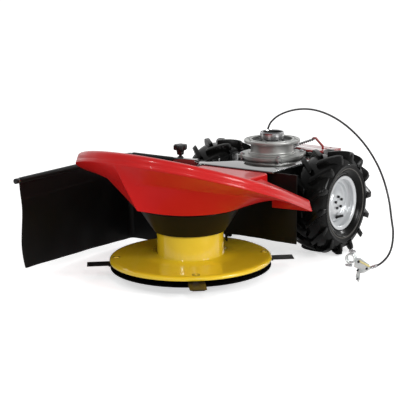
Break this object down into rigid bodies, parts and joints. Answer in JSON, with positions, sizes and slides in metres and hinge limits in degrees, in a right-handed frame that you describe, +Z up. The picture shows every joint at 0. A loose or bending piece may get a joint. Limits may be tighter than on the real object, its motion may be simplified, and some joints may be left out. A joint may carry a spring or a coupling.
{
  "type": "drum mower",
  "caption": "Single-drum mower with a funnel hood, a hanging side curtain, lugged tyres and an engine adapter on its frame plate.",
  "frame": {"origin": "the floor under the drum axis, at the middle of the saucer's flat bottom", "axes": "-Y is the mowing direction, +X is the operator's left, +Z is up"},
  "size_m": [0.9745, 0.943, 0.4618],
  "materials": {
    "hood_red": "gloss",
    "drum_yellow": "gloss",
    "frame_black": "gloss",
    "dark_steel": "satin",
    "rubber_sheet": "matte",
    "tyre": "matte",
    "rim_silver": "satin",
    "cast_aluminium": "satin",
    "bright_steel": "satin",
    "chrome": "gloss",
    "knob_black": "matte",
    "bracket_red": "satin",
    "zinc_grey": "satin",
    "latch_yellow": "gloss",
    "cable_black": "gloss"
  },
  "bodies": {
    "chassis": {"frame_plate": "frame_black", "belt_housing": "frame_black", "gearbox": "dark_steel", "axle_tubes": "dark_steel", "drum_collar": "frame_black", "spindle_housing": "dark_steel", "hood_shell": "hood_red", "hood_back_wall": "hood_red", "hood_deck": "hood_red", "engine_adapter": "cast_aluminium", "adapter_studs": "bright_steel", "rear_apron": "rubber_sheet", "apron_rail": "frame_black", "drum_scraper": "frame_black", "arm_clamp": "frame_black", "star_knob": "knob_black", "knob_stem": "knob_black", "handlebar_bracket": "bracket_red", "bracket_posts": "bracket_red", "adjuster_blocks": "bracket_red", "adjuster_screw": "bright_steel", "cable_stand": "frame_black", "clutch_cable": "cable_black", "lever_body": "zinc_grey", "lever_blade": "zinc_grey", "handlebar_clamp": "zinc_grey", "wing_screws": "bright_steel", "lever_latch": "latch_yellow", "cable_ferrule": "bright_steel"},
    "wheel_left": {"tyre_left": "tyre", "rim_left": "rim_silver", "wheel_hub_left": "dark_steel"},
    "wheel_right": {"tyre_right": "tyre", "rim_right": "rim_silver", "wheel_hub_right": "dark_steel"},
    "drum": {"drum_shell": "drum_yellow", "drum_hub": "dark_steel", "spindle_shaft": "bright_steel", "knife_pins": "bright_steel"},
    "saucer": {"saucer": "dark_steel"},
    "input": {"input_hub": "chrome"},
    "curtain": {"curtain_tube": "frame_black", "tube_cap": "knob_black", "side_curtain": "rubber_sheet"},
    "knife_1": {"knife_1": "bright_steel"},
    "knife_2": {"knife_2": "bright_steel"},
    "knife_3": {"knife_3": "bright_steel"},
    "knife_4": {"knife_4": "bright_steel"}
  },
  "joints": [
    {"name": "wheel_left_spin", "type": "hinge", "parent": "chassis", "child": "wheel_left", "pos_m": [0.21, 0.45, 0.1625], "axis": [1, 0, 0], "continuous": true},
    {"name": "wheel_right_spin", "type": "hinge", "parent": "chassis", "child": "wheel_right", "pos_m": [-0.21, 0.45, 0.1625], "axis": [1, 0, 0], "continuous": true},
    {"name": "drum_spin", "type": "hinge", "parent": "chassis", "child": "drum", "pos_m": [0, 0, 0.145], "axis": [0, 0, 1], "continuous": true},
    {"name": "saucer_spin", "type": "hinge", "parent": "drum", "child": "saucer", "pos_m": [0, 0, 0.02], "axis": [0, 0, 1], "continuous": true},
    {"name": "input_spin", "type": "hinge", "parent": "chassis", "child": "input", "pos_m": [0, 0.441, 0.345], "axis": [0, 0, 1], "continuous": true},
    {"name": "curtain_slide", "type": "slide", "parent": "chassis", "child": "curtain", "axis": [-1, 0, 0], "range_m": [0, 0.05]},
    {"name": "knife_1_swing", "type": "hinge", "parent": "drum", "child": "knife_1", "pos_m": [0.14368, -0.16528, 0.042], "axis": [0, 0, 1], "continuous": true},
    {"name": "knife_2_swing", "type": "hinge", "parent": "drum", "child": "knife_2", "pos_m": [0.16528, 0.14368, 0.042], "axis": [0, 0, 1], "continuous": true},
    {"name": "knife_3_swing", "type": "hinge", "parent": "drum", "child": "knife_3", "pos_m": [-0.14368, 0.16528, 0.042], "axis": [0, 0, 1], "continuous": true},
    {"name": "knife_4_swing", "type": "hinge", "parent": "drum", "child": "knife_4", "pos_m": [-0.16528, -0.14368, 0.042], "axis": [0, 0, 1], "continuous": true}
  ]
}
